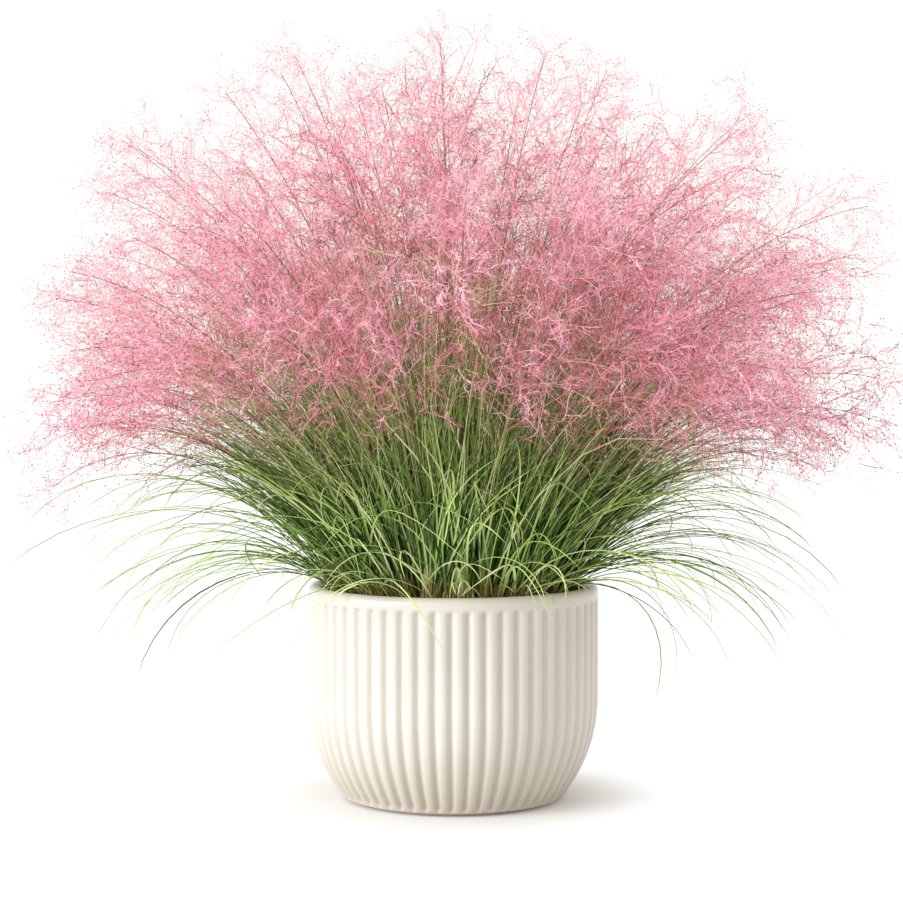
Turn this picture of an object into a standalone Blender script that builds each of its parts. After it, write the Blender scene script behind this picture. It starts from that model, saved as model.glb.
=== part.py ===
"""Pink muhly grass in a fluted pot: pot, potting soil, leaf tufts and flower sprays.

Metres, +Z up. The origin is on the ground under the pot's axis, and the plant is seen
from -Y. Every stem and inner leaf follows one family of growth lines that start on the
soil and lean further out the further they start from the middle, so none meet.
"""
import math
import random

import bpy
import bmesh
from mathutils import Vector

# Pot
POT_HEIGHT = 0.222
POT_RADIUS = 0.150
FOOT_RADIUS = 0.1117
MOUTH_RADIUS = 0.135
BELLY_HEIGHT = 0.110
BELLY_ROUNDING = 2.3
FLOOR_THICKNESS = 0.014
WALL_THICKNESS = 0.015
FLUTES = 56
FLUTE_DEPTH = 0.0034
FLUTE_START = 0.010
FLUTE_END = 0.207
FLUTE_LEVELS = (FLUTE_START, 0.032, 0.075, FLUTE_END)
GROOVE_AZIMUTH = math.radians(-90.8)
RIM_PROFILE = ((POT_RADIUS - 0.0003, 0.212), (POT_RADIUS - 0.0025, 0.2188),
               (POT_RADIUS - 0.0065, POT_HEIGHT), (MOUTH_RADIUS + 0.0035, POT_HEIGHT))
WALL_LEVELS = (0.212, BELLY_HEIGHT, 0.045, FLOOR_THICKNESS)

# Soil
SOIL_LEVEL = 0.200
SOIL_SIDES = FLUTES // 2
SOIL_LEVELS = (0.045, BELLY_HEIGHT, SOIL_LEVEL)
CLEARANCE = 0.0003

# Growth lines
CLUMP_RADIUS = 0.092
WIDEST_TILT = 75.0
FRONT_TUCK = 0.32
FRONT_SHORTENING = 0.08
REACH = 0.608
LINE_STEPS = 24

# Flower sprays: each ring has an odd number of sprays, and a spray has three stems
SPRAY_RINGS = (1, 3, 5, 7, 9)
STEMS_PER_SPRAY = 3
RING_TURNS = (90.0, 30.0, 6.0, 14.0, 4.0)
SPRAY_BASE_RADIUS = 0.0045
BASE_HEIGHT = 0.012
FORK_HEIGHT = 0.10
CULM_LEVELS = (0.075,)
PLUME_START = 0.43
PLUME_SEGMENTS = 5
PLUME_TWIST = math.radians(44.0)
STEM_RADIUS = 0.0022
STEM_TIP_RADIUS = 0.0012
LOCK_REACH = 0.075
LOCK_SHAPE = (0.55, 0.85, 1.0, 0.9, 0.65)
LOCK_LEAD = 0.45
STEM_WANDER = 0.020
SHORTEST_STEM, LONGEST_STEM = 0.83, 1.04

# Leaf tufts
BLADES_PER_TUFT = 6
TUFT_BASE_RADIUS = 0.0046
INNER_TUFTS = ((0.4, (282.0,)), (0.6, (58.0, 158.0, 262.0)),
               (0.8, (6.0, 108.0, 208.0, 315.0)))
INNER_BLADE_LENGTH = 0.285
INNER_BLADE_SPREAD = 0.13
INNER_SPREADS = (0.0, 1.0, 2.0, 0.0, -2.0, -1.0)
INNER_RING_SHIFT = 0.03
INNER_BLADE_WIDTH = 0.0056
OUTER_TUFTS = 10
OUTER_TUFT_RADIUS = 0.112
OUTER_BLADE_WIDTH = 0.0068
OUTER_TURNS = (4.0, 9.5, 15.0, -4.0, -15.0, -9.5)
OUTER_FOOT_LEANS = (52.0, 50.0, 45.0, 43.0, 45.0, 51.0)
OUTER_TIP_LEANS = (170.0, 158.0, 146.0, 134.0, 148.0, 164.0)
OUTER_LENGTH_SHARES = (1.0, 0.95, 0.85, 0.75, 0.87, 0.97)
SIDE_LEAF_LENGTH = 0.375
FRONT_LEAF_LENGTH = 0.270
BACK_LEAF_LENGTH = 0.330
BLADE_THICKNESS = 0.0016
FAN_DISTANCE = 0.09
INNER_SHARES = (0.12, 0.42, 0.74)
OUTER_SHARES = (0.10, 0.28, 0.50, 0.74)

UP = Vector((0.0, 0.0, 1.0))
SEED = 1188


def clear_scene():
    """Remove the objects that the scene starts with."""
    for existing in list(bpy.data.objects):
        bpy.data.objects.remove(existing, do_unlink=True)


def make_material(name, colour, roughness):
    """A plain surface with one colour."""
    material = bpy.data.materials.new(name)
    material.use_nodes = True
    shader = material.node_tree.nodes["Principled BSDF"]
    shader.inputs["Base Color"].default_value = (*colour, 1.0)
    shader.inputs["Roughness"].default_value = roughness
    shader.inputs["Metallic"].default_value = 0.0
    return material


class Body:
    """Points and faces of one closed solid that is built up ring by ring."""

    def __init__(self):
        self.points = []
        self.faces = []

    def add_point(self, point):
        """Keep a point and give its index."""
        self.points.append(tuple(point))
        return len(self.points) - 1

    def add_circle(self, radius, height, sides, depth=0.0):
        """A level circle round the pot's axis, with every other point set back by depth."""
        turn = GROOVE_AZIMUTH
        ring = []
        for i in range(sides):
            angle = turn + 2.0 * math.pi * i / sides
            point_radius = radius - (depth if i % 2 == 0 else 0.0)
            ring.append(self.add_point((point_radius * math.cos(angle),
                                        point_radius * math.sin(angle), height)))
        return ring

    def join_rings(self, lower, upper):
        """Side faces between two rings of the same number of points."""
        count = len(lower)
        for i in range(count):
            j = (i + 1) % count
            self.faces.append((lower[i], lower[j], upper[j], upper[i]))

    def widen_ring(self, coarse, fine, fine_above=True):
        """Side faces between a ring and one with twice as many points."""
        count = len(coarse)
        for i in range(count):
            a, b = coarse[i], coarse[(i + 1) % count]
            p, q, r = fine[2 * i], fine[2 * i + 1], fine[(2 * i + 2) % len(fine)]
            triangles = ((a, b, q), (a, q, p), (b, r, q))
            for triangle in triangles:
                self.faces.append(triangle if fine_above else triangle[::-1])

    def make_object(self, name, material, smooth_angle):
        """Turn the points and faces into a named object."""
        mesh = bpy.data.meshes.new(name)
        mesh.from_pydata(self.points, [], self.faces)
        shape = bmesh.new()
        shape.from_mesh(mesh)
        bmesh.ops.recalc_face_normals(shape, faces=shape.faces)
        bmesh.ops.triangulate(shape, faces=shape.faces)
        shape.to_mesh(mesh)
        shape.free()
        mesh.shade_smooth()
        mesh.set_sharp_from_angle(angle=math.radians(smooth_angle))
        mesh.materials.append(material)
        made = bpy.data.objects.new(name, mesh)
        bpy.context.collection.objects.link(made)
        return made


def outer_radius(height):
    """The pot's outside over the ribs: a round belly that runs into a straight wall."""
    rise = min(height / BELLY_HEIGHT, 1.0)
    swell = 1.0 - (1.0 - rise) ** BELLY_ROUNDING
    return FOOT_RADIUS + (POT_RADIUS - FOOT_RADIUS) * swell


def inner_radius(height):
    """The pot's inside, one wall thickness in from the ribs."""
    return min(outer_radius(height) - WALL_THICKNESS, MOUTH_RADIUS)


def make_pot(material):
    """A hollow pot with upright ribs between a plain foot and a rounded rim."""
    pot = Body()
    foot = pot.add_circle(outer_radius(0.0), 0.0, FLUTES)
    pot.faces.append(tuple(reversed(foot)))
    ribs = [pot.add_circle(outer_radius(z), z, 2 * FLUTES, FLUTE_DEPTH) for z in FLUTE_LEVELS]
    pot.widen_ring(foot, ribs[0])
    for lower, upper in zip(ribs, ribs[1:]):
        pot.join_rings(lower, upper)
    rim = [pot.add_circle(radius, z, FLUTES) for radius, z in RIM_PROFILE]
    pot.widen_ring(rim[0], ribs[-1], fine_above=False)
    for lower, upper in zip(rim, rim[1:]):
        pot.join_rings(lower, upper)
    inside = [pot.add_circle(inner_radius(z), z, SOIL_SIDES) for z in WALL_LEVELS]
    pot.widen_ring(inside[0], rim[-1], fine_above=False)
    for lower, upper in zip(inside, inside[1:]):
        pot.join_rings(lower, upper)
    pot.faces.append(tuple(inside[-1]))
    return pot.make_object("pot", material, 40.0)


def make_soil(material):
    """Potting soil that fills the pot to just under its rim."""
    soil = Body()
    levels = (FLOOR_THICKNESS + CLEARANCE, *SOIL_LEVELS)
    gap = CLEARANCE / math.cos(math.pi / SOIL_SIDES) * 1.3
    rings = [soil.add_circle(inner_radius(z) - gap, z, SOIL_SIDES) for z in levels]
    soil.faces.append(tuple(reversed(rings[0])))
    for lower, upper in zip(rings, rings[1:]):
        soil.join_rings(lower, upper)
    soil.faces.append(tuple(rings[-1]))
    return soil.make_object("soil", material, 30.0)


def line_lean(tilt):
    """Lean from upright, in degrees, at the foot and the tip of a growth line.

    Tilt is the direction of the line's tip as seen from the middle of the clump.
    """
    foot_lean = tilt * (0.62 - 0.0012 * tilt)
    return foot_lean, 3.0 * tilt - 2.0 * foot_lean


def front_share(place):
    """How far a place on the unit disc lies to the front or back rather than to a side."""
    return place.y * place.y / max(place.length, CLEARANCE)


def line_tilt(place):
    """Tilt of the growth line that starts at a place on the unit disc.

    The plant spreads less to the front and back than to its sides.
    """
    widest = math.sin(math.radians(WIDEST_TILT / 2.0))
    tilt = 2.0 * math.degrees(math.asin(min(place.length * widest, 1.0)))
    return tilt * (1.0 - FRONT_TUCK * front_share(place))


def line_length(place):
    """Length of a growth line, so that the tips lie on the plant's domed outline."""
    tilt = line_tilt(place)
    past = max(tilt - 40.0, 0.0) / 30.0
    reach = REACH * (1.0 - 0.26 * past ** 1.2) * (1.0 - FRONT_SHORTENING * front_share(place))
    reach -= CLUMP_RADIUS * place.length * math.sin(math.radians(tilt))
    foot_lean, tip_lean = line_lean(tilt)
    bend = math.radians(tip_lean - foot_lean)
    return reach * (1.0 + 0.045 * bend * bend)


def walk(foot_radius, foot_lean, tip_lean, length, distance):
    """Radius and height reached along a line that bends evenly outwards, and its lean."""
    radius, height = foot_radius, SOIL_LEVEL + CLEARANCE
    step = distance / LINE_STEPS
    for i in range(LINE_STEPS):
        share = (i + 0.5) * step / length
        lean = math.radians(foot_lean + (tip_lean - foot_lean) * share * share)
        radius += step * math.sin(lean)
        height += step * math.cos(lean)
    share = distance / length
    lean = math.radians(foot_lean + (tip_lean - foot_lean) * share * share)
    return radius, height, lean


def line_point(place, distance):
    """The point at a distance along the growth line that starts at a place."""
    tilt = line_tilt(place)
    foot_lean, tip_lean = line_lean(tilt)
    radius, height, _ = walk(CLUMP_RADIUS * place.length, foot_lean, tip_lean,
                             line_length(place), distance)
    azimuth = math.atan2(place.y, place.x)
    return Vector((radius * math.cos(azimuth), radius * math.sin(azimuth), height))


def line_directions(place, distance):
    """Outward and sideways directions across a growth line."""
    tilt = line_tilt(place)
    foot_lean, tip_lean = line_lean(tilt)
    _, _, lean = walk(0.0, foot_lean, tip_lean, line_length(place), distance)
    azimuth = math.atan2(place.y, place.x)
    outward = Vector((math.cos(lean) * math.cos(azimuth),
                      math.cos(lean) * math.sin(azimuth), -math.sin(lean)))
    sideways = Vector((-math.sin(azimuth), math.cos(azimuth), 0.0))
    return outward, sideways


def smooth_step(value):
    """Ease from 0 to 1."""
    value = min(max(value, 0.0), 1.0)
    return value * value * (3.0 - 2.0 * value)


def add_base(body, centre, azimuth, corners, radius):
    """A short shoot base on the soil. Gives one top triangle for each thing it bears."""
    lower, upper = [], []
    for i in range(corners):
        angle = azimuth + 2.0 * math.pi * (i - 0.5) / corners
        corner = centre + radius * Vector((math.cos(angle), math.sin(angle), 0.0))
        lower.append(body.add_point(corner))
        upper.append(body.add_point(corner + Vector((0.0, 0.0, BASE_HEIGHT))))
    body.faces.append(tuple(reversed(lower)))
    body.join_rings(lower, upper)
    middle = body.add_point(centre + Vector((0.0, 0.0, BASE_HEIGHT)))
    return [(upper[i], upper[(i + 1) % corners], middle) for i in range(corners)]


def add_section(body, centre, side, along, depth, width, turn=0.0):
    """A triangular cross-section: two corners on the outward side and one opposite."""
    along = along.normalized()
    side = (side - along * side.dot(along)).normalized()
    normal = side.cross(along)
    section = []
    for angle in (-math.pi / 3.0, math.pi / 3.0, math.pi):
        across = depth * math.cos(angle + turn) * normal + width * math.sin(angle + turn) * side
        section.append(body.add_point(centre + across))
    return tuple(section)


def add_stem(body, start, heading, spray_place, place, wander, share):
    """One flower stem: a bare culm, then a plume with locks on its twisting sides."""
    length = share * line_length(place)

    def place_at(distance):
        return place + wander * (distance / length)

    def point_at(distance):
        fork = smooth_step(distance / FORK_HEIGHT)
        return line_point(spray_place.lerp(place_at(distance), fork), distance)

    plume_start = PLUME_START * length
    spacing = (length - plume_start) / (PLUME_SEGMENTS + 0.6)
    levels = list(CULM_LEVELS) + [plume_start + i * spacing for i in range(PLUME_SEGMENTS + 1)]
    lower = start
    sideways = UP.cross(heading)
    for number, distance in enumerate(levels):
        centre = point_at(distance)
        along = (point_at(distance + 0.005) - point_at(distance - 0.005)).normalized()
        sideways = (sideways - along * sideways.dot(along)).normalized()
        size = STEM_RADIUS + (STEM_TIP_RADIUS - STEM_RADIUS) * distance / length
        segment = number - len(CULM_LEVELS)
        turn = PLUME_TWIST * max(segment, 0)
        upper = add_section(body, centre, sideways, along, size, size, turn)
        for side in range(3):
            a, b = lower[side], lower[(side + 1) % 3]
            c, d = upper[(side + 1) % 3], upper[side]
            if segment < 1 or side == (segment + 1) % 3:
                body.faces.append((a, b, c, d))
                continue
            direction = turn - PLUME_TWIST / 2.0 + 2.0 * math.pi * side / 3.0
            outward = sideways.cross(along)
            facing = outward * math.cos(direction) + sideways * math.sin(direction)
            grown_out, grown_side = line_directions(place_at(distance), distance)
            reach = LOCK_REACH * LOCK_SHAPE[segment - 1]
            azimuth = math.atan2(place.y, place.x)
            radial = Vector((math.cos(azimuth), math.sin(azimuth)))
            tangent = Vector((-radial.y, radial.x))
            offset = radial * facing.dot(grown_out) + tangent * facing.dot(grown_side)
            lead = min(distance + LOCK_LEAD * spacing, length)
            tip = body.add_point(line_point(place_at(lead) + reach * offset, lead))
            body.faces.extend(((a, b, tip), (b, c, tip), (c, d, tip), (d, a, tip)))
        lower = upper
    tip = body.add_point(point_at(length))
    for side in range(3):
        body.faces.append((lower[side], lower[(side + 1) % 3], tip))


def make_spray(name, material, azimuths, ring_place, chance):
    """A flower spray: one shoot base that forks into three plumed stems."""
    spray = Body()
    places = [ring_place * Vector((math.cos(a), math.sin(a))) for a in azimuths]
    spray_place = sum(places, Vector((0.0, 0.0))) / len(places)
    centre = line_point(spray_place, 0.0)
    middle = azimuths[1]
    tops = add_base(spray, centre, middle, STEMS_PER_SPRAY, SPRAY_BASE_RADIUS)
    for number, place in enumerate(places):
        side = (number - 1) % STEMS_PER_SPRAY
        angle = middle + 2.0 * math.pi * side / STEMS_PER_SPRAY
        heading = Vector((math.cos(angle), math.sin(angle), 0.0))
        drift = chance.uniform(0.0, 2.0 * math.pi)
        wander = STEM_WANDER * Vector((math.cos(drift), math.sin(drift)))
        share = chance.uniform(SHORTEST_STEM, LONGEST_STEM)
        add_stem(spray, tops[side], heading, spray_place, place, wander, share)
    return spray.make_object(name, material, 30.0)


def make_sprays(material, chance):
    """All flower sprays, ring by ring from the middle out."""
    number = 0
    rings = len(SPRAY_RINGS)
    for ring, sprays in enumerate(SPRAY_RINGS):
        stems = STEMS_PER_SPRAY * sprays
        pitch = 2.0 * math.pi / stems
        for i in range(sprays):
            first = math.radians(RING_TURNS[ring]) + STEMS_PER_SPRAY * i * pitch
            azimuths = [first + k * pitch for k in range(STEMS_PER_SPRAY)]
            number += 1
            make_spray(f"flower_spray_{number:02d}", material, azimuths,
                       (ring + 0.5) / rings, chance)


def add_blade(body, start, heading, facing, point_at, shares, length, width):
    """One leaf blade: a flat three-sided strip that tapers to its foot and tip."""
    lower = start
    sideways = UP.cross(heading.lerp(facing, 0.35))
    for share in shares:
        distance = share * length
        along = point_at(distance + 0.004) - point_at(distance - 0.004)
        taper = min(0.35 + 2.5 * share, 1.0 - 0.75 * share ** 1.5)
        upper = add_section(body, point_at(distance), sideways, along,
                            BLADE_THICKNESS / 1.5, width * taper / math.sqrt(3.0))
        body.join_rings(lower, upper)
        lower = upper
        sideways = UP.cross(facing)
    tip = body.add_point(point_at(length))
    for side in range(3):
        body.faces.append((lower[side], lower[(side + 1) % 3], tip))


def base_shift(heading, share):
    """Small shift that starts each blade on its own side of the shoot base."""
    return heading * (TUFT_BASE_RADIUS * 0.5 * (1.0 - share)) + BASE_HEIGHT * UP


def make_inner_tuft(name, material, ring_place, azimuth, chance):
    """Upright leaves between two rings of sprays, fanned out along the ring."""
    tuft = Body()
    foot = ring_place * Vector((math.cos(azimuth), math.sin(azimuth)))
    tops = add_base(tuft, line_point(foot, 0.0), azimuth, BLADES_PER_TUFT, TUFT_BASE_RADIUS)
    for i, top in enumerate(tops):
        angle = azimuth + 2.0 * math.pi * i / BLADES_PER_TUFT
        heading = Vector((math.cos(angle), math.sin(angle), 0.0))
        side_shift = INNER_BLADE_SPREAD * INNER_SPREADS[i] * chance.uniform(0.8, 1.1)
        blade_azimuth = azimuth + side_shift / ring_place
        inward = math.cos(angle - azimuth) < 0.1
        blade_ring = ring_place + (-INNER_RING_SHIFT if inward else INNER_RING_SHIFT)
        place = blade_ring * Vector((math.cos(blade_azimuth), math.sin(blade_azimuth)))
        length = INNER_BLADE_LENGTH * chance.uniform(0.8, 1.0)

        def point_at(distance, place=place, heading=heading):
            share = smooth_step(distance / FAN_DISTANCE)
            spot = line_point(foot.lerp(place, share), max(distance, 0.0))
            return spot + base_shift(heading, share)

        facing = Vector((math.cos(blade_azimuth), math.sin(blade_azimuth), 0.0))
        if inward:
            facing.negate()
        add_blade(tuft, top, heading, facing, point_at, INNER_SHARES, length,
                  INNER_BLADE_WIDTH)
    return tuft.make_object(name, material, 30.0)


def outer_leaf_length(azimuth):
    """Arching leaves are longest at the plant's sides and short in front."""
    sideways = abs(math.cos(azimuth))
    across = FRONT_LEAF_LENGTH if math.sin(azimuth) < 0.0 else BACK_LEAF_LENGTH
    return across + (SIDE_LEAF_LENGTH - across) * sideways


def make_outer_tuft(name, material, azimuth, chance):
    """Leaves that arch over the rim like a fountain, each in its own direction."""
    tuft = Body()
    radial = Vector((math.cos(azimuth), math.sin(azimuth), 0.0))
    centre = OUTER_TUFT_RADIUS * radial + Vector((0.0, 0.0, SOIL_LEVEL + CLEARANCE))
    tops = add_base(tuft, centre, azimuth, BLADES_PER_TUFT, TUFT_BASE_RADIUS)
    for i, top in enumerate(tops):
        angle = azimuth + 2.0 * math.pi * i / BLADES_PER_TUFT
        heading = Vector((math.cos(angle), math.sin(angle), 0.0))
        blade_azimuth = azimuth + math.radians(OUTER_TURNS[i])
        away = Vector((math.cos(blade_azimuth), math.sin(blade_azimuth), 0.0))
        length = OUTER_LENGTH_SHARES[i] * outer_leaf_length(blade_azimuth)
        length *= chance.uniform(0.9, 1.03)
        foot_lean = OUTER_FOOT_LEANS[i] + chance.uniform(-1.5, 1.5)

        def point_at(distance, away=away, foot_lean=foot_lean, tip_lean=OUTER_TIP_LEANS[i],
                     length=length, heading=heading):
            radius, height, _ = walk(OUTER_TUFT_RADIUS, foot_lean, tip_lean, length,
                                     max(distance, 0.0))
            share = smooth_step(distance / FAN_DISTANCE)
            direction = radial.lerp(away, share)
            spot = radius * direction + Vector((0.0, 0.0, height))
            return spot + base_shift(heading, share)

        facing = away.copy()
        if math.cos(angle - azimuth) < 0.1:
            facing.negate()
        add_blade(tuft, top, heading, facing, point_at, OUTER_SHARES, length,
                  OUTER_BLADE_WIDTH)
    return tuft.make_object(name, material, 30.0)


def make_tufts(material, chance):
    """All leaf tufts: upright ones among the sprays, then the arching outer ring."""
    number = 0
    for ring_place, turns in INNER_TUFTS:
        for turn in turns:
            number += 1
            make_inner_tuft(f"leaf_tuft_{number:02d}", material, ring_place,
                            math.radians(turn), chance)
    for i in range(OUTER_TUFTS):
        number += 1
        azimuth = 2.0 * math.pi * (i + 0.5) / OUTER_TUFTS
        make_outer_tuft(f"leaf_tuft_{number:02d}", material, azimuth, chance)


def main():
    """Build the whole plant."""
    clear_scene()
    glaze = make_material("warm white glaze", (0.82, 0.78, 0.72), 0.3)
    earth = make_material("dark potting soil", (0.055, 0.036, 0.024), 0.9)
    leaf_green = make_material("leaf green", (0.16, 0.27, 0.07), 0.5)
    plume_pink = make_material("plume pink", (0.72, 0.28, 0.38), 0.7)
    make_pot(glaze)
    make_soil(earth)
    chance = random.Random(SEED)
    make_sprays(plume_pink, chance)
    make_tufts(leaf_green, chance)


main()
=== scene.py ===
"""Looks of a pink muhly grass in a fluted pot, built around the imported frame.

Metres, +Z up, the origin on the ground under the pot's axis, seen from -Y. The flower
stems and leaves follow the same growth lines as the solids that they replace.
"""
import math
import random

import bpy
import numpy as np
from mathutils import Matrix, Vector


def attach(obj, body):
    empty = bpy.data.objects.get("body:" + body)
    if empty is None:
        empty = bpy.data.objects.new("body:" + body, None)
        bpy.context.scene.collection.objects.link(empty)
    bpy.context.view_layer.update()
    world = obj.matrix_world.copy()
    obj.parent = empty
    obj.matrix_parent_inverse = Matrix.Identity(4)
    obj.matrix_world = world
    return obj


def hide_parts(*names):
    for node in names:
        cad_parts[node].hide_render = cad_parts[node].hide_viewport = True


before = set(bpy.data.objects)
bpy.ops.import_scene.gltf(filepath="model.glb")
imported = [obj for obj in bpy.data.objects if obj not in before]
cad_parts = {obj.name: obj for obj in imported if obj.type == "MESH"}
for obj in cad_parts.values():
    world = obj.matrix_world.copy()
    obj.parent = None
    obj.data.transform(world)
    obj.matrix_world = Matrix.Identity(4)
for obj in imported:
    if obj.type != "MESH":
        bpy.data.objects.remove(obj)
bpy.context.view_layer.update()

# Camera, light and floor
SENSOR_WIDTH = 36.0
LENS = 98.8
CAMERA_PLACE = (-0.0015, -2.55, 0.49)
CAMERA_PITCH = math.radians(2.92)
CLIP_END = 100.0
WORLD_COLOUR = (1.0, 0.975, 0.935)
WORLD_STRENGTH = 1.10
SUN_COLOUR = (0.91, 0.96, 1.0)
SUN_STRENGTH = 3.7
SUN_SPREAD = math.radians(38.0)
SUN_DIRECTION = (0.82, 0.47, -0.33)
FLOOR_HALF = 14.0
FLOOR_SHADE_RADIUS = 0.25

# Pot and soil, as in the solids
POT_HEIGHT = 0.222
POT_RADIUS = 0.150
FOOT_RADIUS = 0.1117
MOUTH_RADIUS = 0.135
BELLY_HEIGHT = 0.110
BELLY_ROUNDING = 2.3
FLOOR_THICKNESS = 0.014
FLUTES = 56
GROOVE_AZIMUTH = math.radians(-90.8)
SOIL_LEVEL = 0.200
CLEARANCE = 0.0003

# Fine detail of the pot, with its outline as radius and height
FLUTE_DEPTH = 0.0046
FLUTE_FADE_LOW = (0.003, 0.011)
FLUTE_FADE_HIGH = (0.2050, 0.2110)
GROOVE_WIDTH = 0.46
GROOVE_SHARPNESS = 1.6
RIB_ROUNDING = 0.22
POINTS_PER_FLUTE = 10
UNDERSIDE = ((0.0, 0.004), (0.060, 0.004), (0.092, 0.0035), (0.0985, 0.0008), (0.1010, 0.0),
             (0.1052, 0.0), (0.1062, 0.0010), (0.1085, 0.0024), (0.1125, 0.0032))
WALL_TOP = 0.2125
WALL_LEVELS = ((0.004, 0.024, 11), (0.028, 0.195, 28), (0.198, WALL_TOP, 14))
LIP_RADIUS = 0.0075
LIP_SWEEP = (8, 172, 15)
INSIDE = ((MOUTH_RADIUS, WALL_TOP), (MOUTH_RADIUS, 0.205), (MOUTH_RADIUS, 0.196),
          (MOUTH_RADIUS, 0.185), (MOUTH_RADIUS, 0.11), (0.1180, 0.045), (0.104, 0.022),
          (0.095, FLOOR_THICKNESS), (0.05, FLOOR_THICKNESS), (0.0, FLOOR_THICKNESS))

# Fine detail of the soil, with its sides as height and radius
SOIL_AROUND = 96
SOIL_RINGS = 34
SOIL_EDGE_GAP = 0.0015
SOIL_DIP, SOIL_EDGE_DIP = 0.0015, 0.002
LUMPS = 26
LUMP_LOWS, LUMP_HIGHS = (120, 120, 0, 0), (700, 700, 6, 6)
LUMP_HEIGHT = 0.0009
GRAIN = 0.0005
SOIL_WALLS = ((SOIL_LEVEL - 0.02, 0.1342), (BELLY_HEIGHT, 0.1342), (0.045, 0.1172),
              (0.022, 0.102), (FLOOR_THICKNESS + CLEARANCE, 0.094))
CHIPS = 420
CHIP_HEIGHTS = (-0.0015, 0.001)
CHIP_SIZES = (0.0012, 0.0042)
CHIP_SHAPE = (1.0, 0.6, 0.45)

# Growth lines, as in the solids
CLUMP_RADIUS = 0.092
WIDEST_TILT = 75.0
FRONT_TUCK = 0.32
FRONT_SHORTENING = 0.08
REACH = 0.608
LINE_STEPS = 24
FOOT_LEAN, FOOT_LEAN_LOSS = 0.62, 0.0012
LOW_TILT, LOW_TILT_SPAN = 40.0, 30.0
LOW_SHORTENING, LOW_POWER = 0.26, 1.2
BEND_LENGTHENING = 0.045

# Flower sprays, as in the solids
SPRAY_RINGS = (1, 3, 5, 7, 9)
STEMS_PER_SPRAY = 3
RING_TURNS = (90.0, 30.0, 6.0, 14.0, 4.0)
FORK_HEIGHT = 0.10
PLUME_START = 0.43
LOCK_REACH = 0.075
STEM_WANDER = 0.020
SHORTEST_STEM, LONGEST_STEM = 0.83, 1.04
SEED = 1188

# Leaf tufts, as in the solids
INNER_TUFTS = ((0.4, (282.0,)), (0.6, (58.0, 158.0, 262.0)),
               (0.8, (6.0, 108.0, 208.0, 315.0)))
INNER_BLADE_LENGTH = 0.285
OUTER_TUFTS = 10
OUTER_TUFT_RADIUS = 0.112
SIDE_LEAF_LENGTH = 0.375
FRONT_LEAF_LENGTH = 0.270
BACK_LEAF_LENGTH = 0.330

# Seeds of the draws for detail that the solids don't have
DETAIL_SEED = 17
LEAF_DRAWS = 100
SOIL_DRAWS = 300
EXTRA_SEED = 3268

# Stems
STEM_SHARE = 0.955
EXTRA_SHIFT = (0.05, 0.10)
EXTRA_SHARES = (0.74, 1.04)
EXTRA_EDGE = 0.97
STEM_SECTIONS = 22
STEM_CORNERS = 3
CULM_SHADES, HEAD_SHADES = (0.05, 0.95), (0.30, 0.75)
CULM_RADIUS, TIP_RADIUS = 0.0011, 0.00035
BARE_CULMS = 62
BARE_SECTIONS = 9
BARE_SHARES = (0.36, 0.78)
BARE_WIDTHS = (0.0010, 0.0020)

# Where flower heads start and how full they are
HEAD_START_SPREAD = (-0.03, 0.09)
LATE_START = 0.135
GAP_PLACE, GAP_WIDTH = 0.0, 0.25
GAP_START = 0.25
GAP_BACK = 0.3
FRONT_HANG = 0.112
BACK_HANG = 0.20
BACK_WIDTH = 0.45
EDGE_THINNING = 0.14
SIDE_THINNING = (1.0, 0.75)
TOP_THINNING = 0.10
MIDDLE_FILL = 0.10
RIGHT_FILL = 0.18
BACK_FILL = 0.30
FULLNESS = (0.8, 1.15)

# Branches, twigs and seed heads
BRANCHES = (20, 28)
BRANCH_TURN = 2.4
BRANCH_SEGMENTS, TWIG_SEGMENTS = 6, 4
BRANCH_ANGLES, TWIG_ANGLES, SEED_ANGLES = (22, 42), (22, 58), (15, 62)
TWIGS = 7
TWIG_SHARES = (0.26, 0.46)
TWIG_LIMITS = (0.010, 0.046)
MILLIMETRE = 1e-3
BRANCH_WIDTHS = (0.76, 0.50)
TWIG_WIDTHS = (0.70, 0.66, 0.60, 0.48)
SEEDS = 6
STALK_LENGTHS = (0.006, 0.014)
STALK_WIDTH = 0.0006
SEED_WIDTHS = (0.0008, 0.0012)
SEED_LENGTH = 0.0027
SHADE_LIMITS = (0.02, 0.98)
BRANCH_NOISE, SHADE_NOISE = 0.11, 0.19
DRY_SHARE = 0.85
DRY_END = 0.38
DRY_STEP = 0.618

# A piece's map: u along each part, v its shade. On plumes u runs on from part to part.
UV_NAME = "OFBake"
UV_HALF = 0.004
CULM_SPAN, HEAD_SPAN = 0.22, 0.18
BARE_SPAN = (0.02, 0.23)
BRANCH_SPAN = (0.40, 0.60)
TWIG_SPAN = (0.60, 0.78)
SEED_SPAN = (0.78, 0.90, 1.0)
PINK_FROM = 0.3999
DRY_SPAN = (0.16, 0.25)
DRY_SEED_SPAN = (0.20, 0.31, 0.36)
DRY_SHADES = (0.50, 1.0)

# Fine detail of the leaves
INNER_BLADES = 270
INNER_SECTIONS = 7
INNER_FOLD = 0.28
OUTER_BLADES = 225
OUTER_SECTIONS = 15
OUTER_FOLD = 0.75
SIDE_SPARSENESS = 0.46
ARCHING_BLADES = (14, 36)
DROOPING_BLADES = 8
DROOPING_FROM = -0.3
BLADE_WIDTHS = (0.0011, 0.0021)
ARCHING_WIDTHS = (0.0018, 0.0029)
RIM_GAP = 0.003
RIM_TRIES = 8
RIM_PROBES = 24
RIM_STEP = 5.0

FULL_TURN = 2 * math.pi
UP = np.array((0.0, 0.0, 1.0))
BLACK = (0.0, 0.0, 0.0)
WHITE = (1.0, 1.0, 1.0)


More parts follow.
